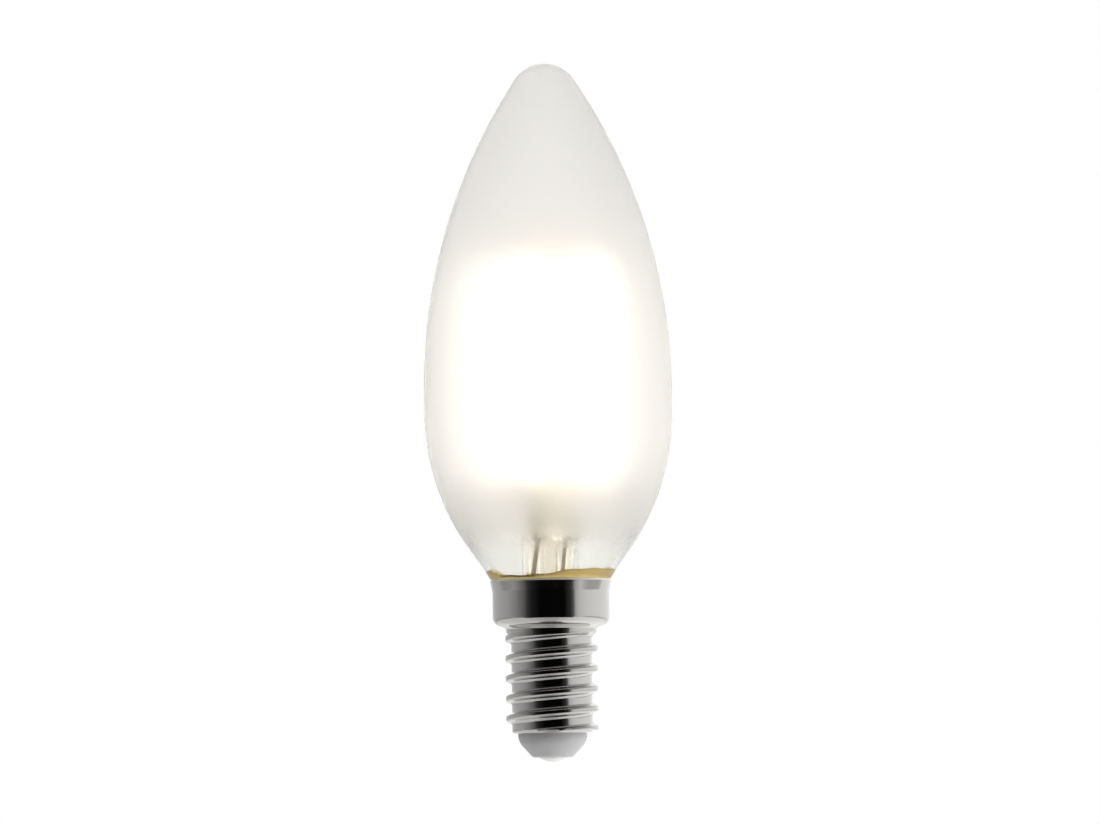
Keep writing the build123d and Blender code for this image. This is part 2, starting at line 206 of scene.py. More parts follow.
class CandleStage(bpy.types.PropertyGroup):
    camera_distance: length_prop("Camera distance", "From the bulb's axis", 1.5)
    camera_height: length_prop("Camera height", "Less than 0 to see the rim from below", -0.019)
    frame_width: length_prop("Frame width", "Width of the view at the bulb", 155.1 * MM)
    target_height: length_prop("View centre", "Height at the middle of the view", 49.3 * MM)
    target_side: length_prop("View side", "How far right of the axis the view's middle is", 0.23 * MM)
    roll: angle_prop("Camera roll", "Lean of the bulb in the view", radians(-0.76))
    floor_height: length_prop("Floor", "Height of the floor under the held bulb", -0.12)
    tent_radius: length_prop("Tent radius", "Distance of the cards round the cap", 0.13)
    tent_height: length_prop("Tent height", "Height of the middle of the cards", 0.022)
    flag_left: angle_prop("Flag left", "Left edge of the dark flag", radians(-54))
    flag_right: angle_prop("Flag right", "Right edge of the dark flag", radians(45.5))
    flag_low: angle_prop("Flag low", "Lower edge of the flag", radians(-24.5))
    flag_high: angle_prop("Flag high", "Upper edge of the flag", radians(38))
    side_low: angle_prop("Sides low", "Lower edge of the grey side panels", radians(-9))
    table_high: angle_prop("Table high", "Upper edge of the pale table", radians(-18.5))
    table_low: angle_prop("Table low", "Lower edge of the pale table round the stand", radians(-78))
    left_reach: angle_prop("Left panel", "How far round the left panel goes", radians(-166))
    right_reach: angle_prop("Right panel", "How far round the right panel goes", radians(162))
    ambient: share_prop("Ambient", "Light of the white room on matt surfaces", 0.75)


# Drawing and turning

def only(items, kind):
    """The vertices or the edges among what an operator made."""
    return [item for item in items if isinstance(item, kind)]


def draw_lines(bm, start, *corners):
    """Straight edges of a half section from a vertex through corners of radius and height."""
    for radius, height in corners:
        start = bmesh.ops.extrude_vert_indiv(bm, verts=[start])["verts"][0]
        start.co = (radius, 0, height)
    return start


def draw_arc(bm, start, centre, turn, steps):
    """Arc of a half section from a vertex round centre, counter-clockwise where turn is positive."""
    made = bmesh.ops.spin(
        bm, geom=[start], cent=(centre[0], 0, centre[1]), axis=(0, -1, 0), angle=turn, steps=steps
    )
    return only(made["geom_last"], bmesh.types.BMVert)[0]


def turn_section(bm, steps):
    """Turns the whole drawn section once round Z, closes the poles and points the faces outwards."""
    section = bm.verts[:] + bm.edges[:]
    bmesh.ops.spin(bm, geom=section, axis=UP, angle=2 * pi, steps=steps, use_merge=True)
    bmesh.ops.remove_doubles(bm, verts=bm.verts, dist=WELD)
    bmesh.ops.dissolve_degenerate(bm, dist=WELD / 10, edges=bm.edges)
    bmesh.ops.recalc_face_normals(bm, faces=bm.faces)


def round_ring(bm, radius, height, offset, segments):
    """Rounds the edge of a turned piece at that radius and height."""

    def on_ring(vert):
        return abs(hypot(vert.co.x, vert.co.y) - radius) < NEAR and abs(vert.co.z - height) < NEAR

    edges = [edge for edge in bm.edges if all(on_ring(vert) for vert in edge.verts)]
    if not edges:
        raise RuntimeError(f"no edge to round at radius {radius}, height {height}")
    bmesh.ops.bevel(
        bm, geom=edges, offset=offset, segments=segments, profile=0.5, affect="EDGES", material=-1
    )


def loop_at(bm, height):
    """Open edges that lie at that height."""
    return [e for e in bm.edges if e.is_boundary and all(abs(v.co.z - height) < NEAR for v in e.verts)]


def grow_ring(bm, edges, scale, rise):
    """Extrudes an open ring, scales the new one in X and Y and lifts it. Returns the new ring's edges."""
    made = bmesh.ops.extrude_edge_only(bm, edges=edges)["geom"]
    verts = only(made, bmesh.types.BMVert)
    bmesh.ops.scale(bm, vec=(scale[0], scale[1], 1), verts=verts)
    bmesh.ops.translate(bm, vec=(0, 0, rise), verts=verts)
    return only(made, bmesh.types.BMEdge)


def smoothstep(low, high, value):
    """Share from 0 at low to 1 at high, easing in and out."""
    share = min(max((value - low) / (high - low), 0), 1)
    return share * share * (3 - 2 * share)


def make_object(bm, name, materials):
    """Smooth object at the origin from a finished mesh."""
    mesh = bpy.data.meshes.new(name)
    for face in bm.faces:
        face.smooth = True
    bm.to_mesh(mesh)
    bm.free()
    for material in materials:
        mesh.materials.append(material)
    made = bpy.data.objects.new(name, mesh)
    bpy.context.scene.collection.objects.link(made)
    return made


def place_piece(bm, name, nodes, materials, sharp=40):
    """Makes the finished piece, which stands for the solids in nodes and rides on the bulb's one body."""
    piece = make_object(bm, name, materials)
    piece.data.set_sharp_from_angle(angle=radians(sharp))
    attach(piece, "root")
    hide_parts(*nodes)


def paint_node(name, material):
    """Gives a solid that stays in view its finish."""
    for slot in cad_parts[name].material_slots:
        slot.material = material


# Materials

def add_node(tree, kind, settings=None, links=None):
    """Adds a shader node. Settings name its sockets or properties, links what feeds its sockets."""
    node = tree.nodes.new(f"ShaderNode{kind}")
    for key, value in (settings or {}).items():
        if isinstance(key, int) or key in node.inputs:
            node.inputs[key].default_value = value
        else:
            setattr(node, key, value)
    for key, source in (links or {}).items():
        if isinstance(source, bpy.types.Node):
            source = next(socket for socket in source.outputs if socket.enabled)
        tree.links.new(source, node.inputs[key])
    return node


def start_material(name):
    """Empty node material with its tree and Object coordinates."""
    material = bpy.data.materials.new(name)
    material.use_nodes = True
    tree = material.node_tree
    tree.nodes.clear()
    return material, tree, add_node(tree, "TexCoord").outputs["Object"]


def frosted_glass(bulb, name, frost):
    """Soda-lime glass with a silica frosting: milky above, thinning out in specks to clear at the neck, and
    tinted warmer round the stem as painted warm light.
    """
    material, tree, coords = start_material(name)
    drip_size = 5 * MM
    drip_reach = 2.4 * MM
    # The real grains are too fine to show, so the specks are drawn coarser
    speck_size = 0.12 * MM
    speck_reach = 7 * MM
    coat_middle = bulb.frost_start + (drip_reach + speck_reach) / 2
    height = add_node(tree, "SeparateXYZ", links={"Vector": coords}).outputs["Z"]
    drips = add_node(tree, "TexNoise", {"Scale": 1 / drip_size, "Detail": 2.0}, {"Vector": coords})
    uneven = add_node(tree, "Math", {"operation": "MULTIPLY_ADD", 1: drip_reach}, {0: drips, 2: height})
    specks = add_node(tree, "TexNoise", {"Scale": 1 / speck_size, "Detail": 0.0}, {"Vector": coords})
    speckled = add_node(tree, "Math", {"operation": "MULTIPLY_ADD", 1: speck_reach}, {0: specks, 2: uneven})
    coat_edge = {"From Min": coat_middle - bulb.frost_edge, "From Max": coat_middle + bulb.frost_edge}
    coated = add_node(
        tree, "MapRange", {"interpolation_type": "SMOOTHSTEP", **coat_edge}, {"Value": speckled}
    )
    neck_band = {"From Min": bulb.frost_start, "From Max": bulb.warm_top}
    above_neck = add_node(
        tree, "MapRange", {"interpolation_type": "SMOOTHSTEP", **neck_band}, {"Value": uneven}
    )
    density = add_node(
        tree, "MapRange", {"To Min": frost * bulb.thin_frost, "To Max": frost}, {"Value": above_neck}
    )
    roughness = add_node(tree, "MapRange", {"To Min": 0.03}, {"Value": coated, "To Max": density})
    # Painted warm light: the frost's tint turns warmer towards the neck, for the resin's and filaments'
    # light reflected there
    frost_and_painted_warmth = add_node(
        tree, "Mix", {"data_type": "RGBA", 6: bulb.painted_warm_light, 7: bulb.frost_colour}, {0: above_neck}
    )
    tint = add_node(tree, "Mix", {"data_type": "RGBA", 6: bulb.colour}, {0: coated, 7: frost_and_painted_warmth})
    shader = add_node(
        tree,
        "BsdfPrincipled",
        {"IOR": 1.52, "Transmission Weight": 1.0},
        {"Base Color": tint, "Roughness": roughness},
    )
    add_node(tree, "OutputMaterial", links={"Surface": shader})
    return material


def stem_glass(stem):
    """Lead-free glass, drawn as tube and pinched hot: clear with fine draw lines, warm at the press, partly
    from the wire seals' own colour and partly as painted warm light.
    """
    material, tree, coords = start_material("drawn_stem_glass")
    line_width = 0.8 * MM
    along = add_node(tree, "Mapping", {"Scale": (1, 1, 0.06)}, {"Vector": coords})
    lines = add_node(tree, "TexNoise", {"Scale": 1 / line_width, "Detail": 2.0}, {"Vector": along})
    bump = add_node(tree, "Bump", {"Strength": 0.3, "Distance": 0.01 * MM}, {"Height": lines})
    height = add_node(tree, "SeparateXYZ", links={"Vector": coords}).outputs["Z"]
    press = {"From Min": stem.press_foot - 2 * stem.tube_wall, "From Max": stem.press_middle}
    sealed = add_node(tree, "MapRange", {"interpolation_type": "SMOOTHSTEP", **press}, {"Value": height})
    # Warmer at the press: partly the wire seals' colour, partly painted warm light reflected from the resin
    # and filaments
    tint = add_node(tree, "Mix", {"data_type": "RGBA", 6: stem.colour, 7: stem.seal_and_painted_warmth}, {0: sealed})
    shader = add_node(
        tree,
        "BsdfPrincipled",
        {"Roughness": 0.02, "IOR": 1.52, "Transmission Weight": 1.0},
        {"Base Color": tint, "Normal": bump},
    )
    add_node(tree, "OutputMaterial", links={"Surface": shader})
    return material


def plated_metal(name, colour, roughness, spread, grain):
    """Plated or drawn metal: lines along the axis as wide as grain, gloss that varies by spread."""
    material, tree, coords = start_material(name)
    along = add_node(tree, "Mapping", {"Scale": (1, 1, 0.08)}, {"Vector": coords})
    lines = add_node(tree, "TexNoise", {"Scale": 1 / grain, "Detail": 3.0}, {"Vector": along})
    gloss = add_node(
        tree,
        "MapRange",
        {"From Min": 0.3, "From Max": 0.7, "To Min": roughness - spread, "To Max": roughness + spread},
        {"Value": lines},
    )
    bump = add_node(tree, "Bump", {"Strength": 0.12, "Distance": 0.004 * MM}, {"Height": lines})
    shader = add_node(
        tree,
        "BsdfPrincipled",
        {"Base Color": colour, "Metallic": 1.0},
        {"Roughness": gloss, "Normal": bump},
    )
    add_node(tree, "OutputMaterial", links={"Surface": shader})
    return material


def matt_skin(name, colour, roughness, grit):
    """Moulded, cast or sheared surface: an even skin with faint mottling and a fine satin grit."""
    material, tree, coords = start_material(name)
    mottle_size = 6 * grit
    darker = tuple(c * 0.9 for c in colour[:3]) + (1.0,)
    mottle = add_node(tree, "TexNoise", {"Scale": 1 / mottle_size, "Detail": 3.0}, {"Vector": coords})
    tint = add_node(tree, "Mix", {"data_type": "RGBA", 6: darker, 7: colour}, {0: mottle})
    skin = add_node(tree, "TexNoise", {"Scale": 1 / grit, "Detail": 2.0}, {"Vector": coords})
    bump = add_node(tree, "Bump", {"Strength": 0.2, "Distance": 0.02 * MM}, {"Height": skin})
    shader = add_node(
        tree, "BsdfPrincipled", {"Roughness": roughness}, {"Base Color": tint, "Normal": bump}
    )
    add_node(tree, "OutputMaterial", links={"Surface": shader})
    return material


def amber_resin(cement):
    """Baked phenolic capping resin: clear honey with darker streaks, glossy where it was squeezed out."""
    material, tree, coords = start_material("amber_capping_resin")
    streak_size = 1.6 * MM
    round_axis = add_node(tree, "Mapping", {"Scale": (1, 1, 3)}, {"Vector": coords})
    streaks = add_node(
        tree,
        "TexNoise",
        {"Scale": 1 / streak_size, "Detail": 3.0, "Roughness": 0.6},
        {"Vector": round_axis},
    )
    tint = add_node(tree, "Mix", {"data_type": "RGBA", 6: cement.streak, 7: cement.colour}, {0: streaks})
    bump = add_node(tree, "Bump", {"Strength": 0.15, "Distance": 0.05 * MM}, {"Height": streaks})
    shader = add_node(
        tree,
        "BsdfPrincipled",
        {"Roughness": 0.25, "IOR": 1.55, "Transmission Weight": 0.94},
        {"Base Color": tint, "Normal": bump},
    )
    add_node(tree, "OutputMaterial", links={"Surface": shader})
    return material


def phosphor_silicone(filament):
    """Silicone with yellow phosphor over a row of blue chips: soft, matt, brighter over each chip."""
    material, tree, coords = start_material("phosphor_silicone")
    height = add_node(tree, "SeparateXYZ", links={"Vector": coords}).outputs["Z"]
    waves = 2 * pi / filament.chip_pitch
    phase = add_node(tree, "Math", {"operation": "MULTIPLY", 1: waves}, {0: height})
    wave = add_node(tree, "Math", {"operation": "SINE"}, {0: phase})
    between, over = 0.85 * filament.strength, 1.15 * filament.strength
    strength = add_node(
        tree,
        "MapRange",
        {"From Min": -1.0, "From Max": 1.0, "To Min": between, "To Max": over},
        {"Value": wave},
    )
    shader = add_node(
        tree,
        "BsdfPrincipled",
        {"Base Color": filament.phosphor, "Roughness": 0.5, "Emission Color": filament.glow},
        {"Emission Strength": strength},
    )
    add_node(tree, "OutputMaterial", links={"Surface": shader})
    return material


# Pieces

def outline_bulb(bm, bulb):
    """Outside of the bulb as a half section, from the neck's foot up to the tip."""
    slope = bulb.cone_angle
    belly = bulb.diameter / 2
    rim_height = bpy.context.scene.candle_cap.rim_height
    belly_height = rim_height + bulb.belly_above_rim
    band_top = belly_height + bulb.belly_band
    tip_height = bulb.overall_length - bulb.tip_radius

    # The side arc is upright at the belly and runs into the tip's arc
    rise = tip_height - band_top
    side_radius = (belly**2 + rise**2 - bulb.tip_radius**2) / (2 * (belly - bulb.tip_radius))
    side_turn = atan2(rise, side_radius - belly)

    # The shoulder arc is upright at the belly and runs into the cone
    reach = bulb.belly_above_rim * sin(slope) - (belly - bulb.rim_radius) * cos(slope)
    shoulder_radius = reach / (1 - cos(slope))
    shoulder_x = belly - shoulder_radius
    cone_end = (shoulder_x + shoulder_radius * cos(slope), belly_height - shoulder_radius * sin(slope))

    # The throat arc runs from the cone into the straight neck
    throat_out = bulb.neck_radius + bulb.neck_fillet * (1 - cos(slope)) - bulb.rim_radius
    throat_height = rim_height - bulb.neck_fillet * sin(slope) + throat_out / tan(slope)

    point = bm.verts.new((bulb.neck_radius, 0, glass_low.z))
    point = draw_lines(bm, point, (bulb.neck_radius, throat_height))
    point = draw_arc(bm, point, (bulb.neck_radius + bulb.neck_fillet, throat_height), -slope, 8)
    point = draw_lines(bm, point, cone_end)
    point = draw_arc(bm, point, (shoulder_x, belly_height), slope, 20)
    point = draw_lines(bm, point, (belly, band_top))
    point = draw_arc(bm, point, (belly - side_radius, band_top), side_turn, 40)
    draw_arc(bm, point, (0, tip_height), pi / 2 - side_turn, 14)


class CANDLE_OT_bulb(bpy.types.Operator):
    """Blown bulb: one closed wall, frosted on both faces and clear at the neck"""

    bl_idname = "candle.bulb"
    bl_label = "Bulb"

    def execute(self, context):
        bulb = context.scene.candle_glass
        bm = bmesh.new()
        outline_bulb(bm, bulb)
        turn_section(bm, 112)
        bmesh.ops.solidify(bm, geom=bm.faces[:], thickness=bulb.wall)
        middle = Vector((0, 0, bulb.overall_length / 2))
        for face in bm.faces:
            inside = face.normal.dot(face.calc_center_median() - middle) < 0
            face.material_index = 1 if inside else 0
        materials = [
            frosted_glass(bulb, "etched_soda_lime_glass", bulb.satin),
            frosted_glass(bulb, "silica_coated_glass", bulb.frost),
        ]
        place_piece(bm, "bulb_glass", ["glass_envelope"], materials)
        return {"FINISHED"}


def outline_stem(bm, stem, bulb, tail):
    """Half section of the stem: exhaust tube, roof, bore, flare and the tube's outside up to the press."""
    flare_rim = bulb.neck_radius - bulb.wall
    flare_foot = glass_low.z
    flare_face = flare_foot + stem.tube_wall
    bore = stem.tube_radius - stem.tube_wall
    roof = stem.press_foot - stem.tube_wall
    roof_turn = 0.4 * MM
    turn_centre = (stem.tube_radius + stem.flare_top - flare_foot - stem.tube_wall, stem.flare_top)

    # The exhaust tube is tipped off round at its foot
    point = bm.verts.new((0, 0, stem_low.z))
    point = draw_arc(bm, point, (0, stem_low.z + 0.5 * stem.exhaust_radius), pi / 3, 5)
    point = draw_lines(
        bm,
        point,
        (stem.exhaust_radius, tail),
        (stem.exhaust_radius, roof - roof_turn),
        (stem.exhaust_radius + roof_turn, roof),
        (bore - roof_turn, roof),
        (bore, roof - roof_turn),
        (bore, stem.flare_top),
    )
    point = draw_arc(bm, point, turn_centre, pi / 2, 12)
    point = draw_lines(bm, point, (flare_rim, flare_foot), (flare_rim, flare_face))
    point = draw_lines(bm, point, (turn_centre[0], flare_face))
    point = draw_arc(bm, point, turn_centre, -pi / 2, 12)
    draw_lines(bm, point, (stem.tube_radius, stem.press_foot))


def press_ring(bm, ring, start, end, steps):
    """Carries an open ring from one half width, half depth and height to the next, easing in and out."""
    wide, deep, level = start
    for i in range(1, steps + 1):
        share = smoothstep(0, 1, i / steps)
        next_wide = start[0] + (end[0] - start[0]) * share
        next_deep = start[1] + (end[1] - start[1]) * share
        next_level = start[2] + (end[2] - start[2]) * i / steps
        ring = grow_ring(bm, ring, (next_wide / wide, next_deep / deep), next_level - level)
        wide, deep, level = next_wide, next_deep, next_level
    return ring


def bore_exhaust(bm, stem, tail):
    """Adds the exhaust tube's bore, closed below and ending at the blow hole."""
    radius = stem.exhaust_radius - stem.exhaust_wall
    round_foot = stem.blow_hole_height - radius
    hollow = bmesh.new()
    point = hollow.verts.new((0, 0, tail))
    point = draw_lines(hollow, point, (radius, tail + radius), (radius, round_foot))
    draw_arc(hollow, point, (0, round_foot), pi / 2, 6)
    turn_section(hollow, 32)
    bmesh.ops.reverse_faces(hollow, faces=hollow.faces)
    mesh = bpy.data.meshes.new("exhaust_bore")
    hollow.to_mesh(mesh)
    hollow.free()
    bm.from_mesh(mesh)
    bpy.data.meshes.remove(mesh)


class CANDLE_OT_stem(bpy.types.Operator):
    """Stem: flared tube with the exhaust tube inside, pressed flat round the leads, and the post"""

    bl_idname = "candle.stem"
    bl_label = "Stem"

    def execute(self, context):
        stem = context.scene.candle_stem
        tail = stem_low.z + 2 * stem.exhaust_radius
        bm = bmesh.new()
        outline_stem(bm, stem, context.scene.candle_glass, tail)
        turn_section(bm, 64)

        # Press: the tube narrows to a flat oval and then to the round post
        tube = (stem.tube_radius, stem.tube_radius, stem.press_foot)
        flat = (stem.press_half_width, stem.press_half_depth, stem.press_middle)
        post = (stem.post_radius, stem.post_radius, stem.press_top)
        ring = press_ring(bm, loop_at(bm, stem.press_foot), tube, flat, 10)
        ring = press_ring(bm, ring, flat, post, 10)

        # Post with a rounded top
        post_top = stem_high.z - stem.post_radius
        ring = grow_ring(bm, ring, (1, 1), post_top - stem.press_top)
        level, radius, steps = post_top, stem.post_radius, 6
        for i in range(1, steps):
            angle = pi / 2 * i / steps
            next_radius = stem.post_radius * cos(angle)
            next_level = post_top + stem.post_radius * sin(angle)
            ring = grow_ring(bm, ring, (next_radius / radius,) * 2, next_level - level)
            radius, level = next_radius, next_level
        crown = bmesh.ops.contextual_create(bm, geom=ring)["faces"]
        for vert in bmesh.ops.poke(bm, faces=crown)["verts"]:
            vert.co.z = stem_high.z
        bmesh.ops.recalc_face_normals(bm, faces=bm.faces)

        bore_exhaust(bm, stem, tail)
        turn = Matrix.Rotation(context.scene.candle_filament.mount_turn, 3, "Z")
        bmesh.ops.rotate(bm, matrix=turn, verts=bm.verts)
        place_piece(bm, "stem_glass", ["glass_stem"], [stem_glass(stem)])
        return {"FINISHED"}


def flank_rise(cap, rounds, bend, turn):
    """Height of a flank: its two wide roundings up to bend, its tight ones and its steepest part at turn."""
    used = rounds * (1 - cos(bend)) + 2 * cap.tight_round * (cos(bend) - cos(turn))
    steep = (cap.thread_depth - used) / sin(turn)
    return rounds * sin(bend) + 2 * cap.tight_round * (sin(turn) - sin(bend)) + steep * cos(turn)


def draw_thread(bm, cap):
    """One turn's profile of the rolled thread, from root to root, over the crest."""
    root = cap.crest - cap.thread_depth
    land_top = cap.phase
    land_foot = land_top - cap.crest_land
    bend, low, high = cap.low_bend, cap.low_flank, cap.high_flank
    foot = land_foot - flank_rise(cap, cap.low_crest_round + cap.low_root_round, bend, low)
    top = land_top + flank_rise(cap, cap.high_crest_round + cap.high_root_round, high, high)
    flat = cap.pitch - (top - foot)
    steps = 8

    # Lower flank, with a tight rounding at each end of its steepest part
    root_inner = cap.low_root_round - cap.tight_round
    root_tight = (root + cap.low_root_round - root_inner * cos(bend), foot + root_inner * sin(bend))
    crest_inner = cap.low_crest_round - cap.tight_round
    tight_x = cap.crest - cap.low_crest_round + crest_inner * cos(bend)
    tight_z = land_foot - crest_inner * sin(bend)
    point = bm.verts.new((root, 0, foot - flat / 2))
    point = draw_lines(bm, point, (root, foot))
    point = draw_arc(bm, point, (root + cap.low_root_round, foot), -bend, steps)
    point = draw_arc(bm, point, root_tight, bend - low, steps // 2)
    steep_end = (tight_x + cap.tight_round * cos(low), tight_z - cap.tight_round * sin(low))
    point = draw_lines(bm, point, steep_end)
    point = draw_arc(bm, point, (tight_x, tight_z), low - bend, steps // 2)
    point = draw_arc(bm, point, (cap.crest - cap.low_crest_round, land_foot), bend, steps)

    # Crest and upper flank
    point = draw_lines(bm, point, (cap.crest, land_top))
    point = draw_arc(bm, point, (cap.crest - cap.high_crest_round, land_top), high, steps)
    flank_end = root + cap.high_root_round * (1 - cos(high))
    point = draw_lines(bm, point, (flank_end, top - cap.high_root_round * sin(high)))
    point = draw_arc(bm, point, (root + cap.high_root_round, top), -high, steps)
    draw_lines(bm, point, (root, top + flat / 2))


def wind_thread(bm, cap, low, high, steps):
    """Thread wound past both heights, cut off level, its groove fading out into a plain collar."""
    turns = 7
    draw_thread(bm, cap)
    bmesh.ops.spin(
        bm,
        geom=bm.verts[:] + bm.edges[:],
        axis=UP,
        dvec=(0, 0, cap.pitch / steps),
        angle=2 * pi * turns,
        steps=steps * turns,
    )
    bmesh.ops.remove_doubles(bm, verts=bm.verts, dist=WELD)
    for level, below in ((low, True), (high, False)):
        bmesh.ops.bisect_plane(
            bm,
            geom=bm.verts[:] + bm.edges[:] + bm.faces[:],
            dist=WELD,
            plane_co=(0, 0, level),
            plane_no=UP,
            clear_inner=below,
            clear_outer=not below,
        )

    fade = 0.45 * MM
    root = cap.crest - cap.thread_depth
    for vert in bm.verts:
        radius = hypot(vert.co.x, vert.co.y)
        share = smoothstep(cap.run_out - fade, cap.run_out + fade, vert.co.z)
        least = root + (cap.run_out_radius - root) * share
        most = cap.crest + (cap.run_out_radius - cap.crest) * share
        wanted = min(max(radius, least), most)
        vert.co.x *= wanted / radius
        vert.co.y *= wanted / radius


def turn_in_foot(bm, cap, thread_foot, hole_radius):
    """Turns the shell's foot in under the thread, up to the insulator's hole."""
    ring = loop_at(bm, thread_foot)
    root = cap.crest - cap.thread_depth
    steps = 6
    angles = [pi / 2 * i / steps for i in range(1, steps + 1)]
    rings = [(root - cap.foot_bevel * (1 - cos(a)), thread_foot - cap.foot_bevel * sin(a)) for a in angles]
    for radius, level in rings + [(hole_radius, cap.foot_height)]:
        ring = only(bmesh.ops.extrude_edge_only(bm, edges=ring)["geom"], bmesh.types.BMEdge)
        for vert in {v for edge in ring for v in edge.verts}:
            share = radius / hypot(vert.co.x, vert.co.y)
            vert.co = (vert.co.x * share, vert.co.y * share, level)


def press_skirt(bm, cap, step_x, steps):
    """Skirt: sloping underside, rounded corner, plain wall, flared lip and its cut edge."""
    thread_parts = set(bm.verts)
    corner_x = cap.skirt_radius - cap.skirt_corner
    corner_low = corner_x + cap.skirt_corner * sin(cap.step_slope)
    slope_top = cap.step_height + (corner_low - step_x) * tan(cap.step_slope)
    corner_centre = (corner_x, slope_top + cap.skirt_corner * cos(cap.step_slope))
    lip_foot = cap.rim_height - cap.lip_height
    lip_turn = 1.2 * MM
    flare = atan2(cap.lip_radius - cap.skirt_radius, cap.lip_height - cap.rim_edge)
    edge_foot = (cap.lip_radius, cap.rim_height - cap.rim_edge)
    point = bm.verts.new((step_x, 0, cap.step_height))
    point = draw_lines(bm, point, (corner_low, slope_top))
    point = draw_arc(bm, point, corner_centre, pi / 2 - cap.step_slope, 10)
    point = draw_lines(bm, point, (cap.skirt_radius, lip_foot))
    point = draw_arc(bm, point, (cap.skirt_radius + lip_turn, lip_foot), -flare, 4)
    draw_lines(bm, point, edge_foot, (cap.lip_radius - cap.sheet, cap.rim_height))
    section = [v for v in bm.verts if v not in thread_parts]
    section += [e for e in bm.edges if all(v not in thread_parts for v in e.verts)]
    bmesh.ops.spin(bm, geom=section, axis=UP, angle=2 * pi, steps=steps, use_merge=True)
    bmesh.ops.remove_doubles(bm, verts=bm.verts, dist=WELD)


class CANDLE_OT_cap(bpy.types.Operator):
    """Screw cap: rolled thread, plain skirt with a flared lip, pressed from one sheet"""

    bl_idname = "candle.cap"
    bl_label = "Cap shell"

    def execute(self, context):
        cap = context.scene.candle_cap
        steps = 128
        step_turn = 0.25 * MM
        thread_foot = cap.foot_height + cap.foot_bevel
        thread_top = cap.step_height - step_turn
        bm = bmesh.new()
        wind_thread(bm, cap, thread_foot, thread_top, steps)
        turn_in_foot(bm, cap, thread_foot, context.scene.candle_foot.insulator_radius)
        press_skirt(bm, cap, cap.run_out_radius + step_turn, steps)
        bmesh.ops.bridge_loops(bm, edges=loop_at(bm, thread_top) + loop_at(bm, cap.step_height))
        bmesh.ops.recalc_face_normals(bm, faces=bm.faces)
        bmesh.ops.solidify(bm, geom=bm.faces[:], thickness=cap.sheet)
        # The rim's cut edge is rough, and is painted pale as a highlight that stands for the bright line
        # along the rim
        for face in bm.faces:
            face.material_index = int(face.calc_center_median().z > cap.rim_height - cap.rim_edge)
        nickel = plated_metal("nickel_plated_brass", cap.metal, roughness=0.09, spread=0.025, grain=0.5 * MM)
        # Painted highlight: near-white matt paint instead of bare brass, so the rim shows a light line
        cut_edge_highlight = matt_skin("cut_edge_painted_highlight", linear("#f3eee2"), roughness=0.6, grit=0.05 * MM)
        place_piece(bm, "cap_sheet", ["cap_shell"], [nickel, cut_edge_highlight], sharp=30)
        return {"FINISHED"}


class CANDLE_OT_foot(bpy.types.Operator):
    """Insulator and the domed contact at the cap's foot"""

    bl_idname = "candle.foot"
    bl_label = "Insulator and contact"

    def execute(self, context):
        foot = context.scene.candle_foot
        cap = context.scene.candle_cap
        flat = insulator_low.z

        # Insulator: moulded cone with a land under the shell and a flange inside it
        foot_round = 0.3 * MM
        land_round = 0.8 * MM
        land_foot = cap.foot_height - foot.insulator_land
        flange_foot = cap.foot_height + cap.sheet
        bm = bmesh.new()
        first = bm.verts.new((foot.pin_radius, 0, flat))
        last = draw_lines(
            bm,
            first,
            (foot.insulator_foot, flat),
            (foot.insulator_radius, land_foot),
            (foot.insulator_radius, flange_foot),
            (foot.flange_radius, flange_foot),
            (foot.flange_radius, insulator_high.z),
            (foot.pin_radius, insulator_high.z),
        )
        bm.edges.new((last, first))
        turn_section(bm, 72)
        round_ring(bm, foot.insulator_foot, flat, foot_round, 4)
        round_ring(bm, foot.insulator_radius, land_foot, land_round, 6)
        plastic = matt_skin("moulded_polyester", foot.plastic, roughness=0.42, grit=0.25 * MM)
        place_piece(bm, "foot_insulator", ["cap_insulator"], [plastic])

        # Contact: shallow dome with a pin that is hollow at its end
        edge_round = 0.06 * MM
        cup_radius = 0.35 * MM
        cup_foot = contact_top - 1.2 * MM
        dome = (foot.contact_radius**2 + flat**2) / (2 * flat)
        bm = bmesh.new()
        point = bm.verts.new((0, 0, 0))
        point = draw_arc(bm, point, (0, dome), atan2(foot.contact_radius, dome - flat), 10)
        draw_lines(
            bm,
            point,
            (foot.pin_radius, flat),
            (foot.pin_radius, contact_top),
            (cup_radius, contact_top),
            (cup_radius, cup_foot),
            (0, cup_foot),
        )
        turn_section(bm, 56)
        round_ring(bm, foot.contact_radius, flat, edge_round, 3)
        tin = plated_metal("tinned_brass", foot.tin, roughness=0.36, spread=0.04, grain=1.5 * MM)
        place_piece(bm, "contact_button", ["centre_contact"], [tin])
        return {"FINISHED"}


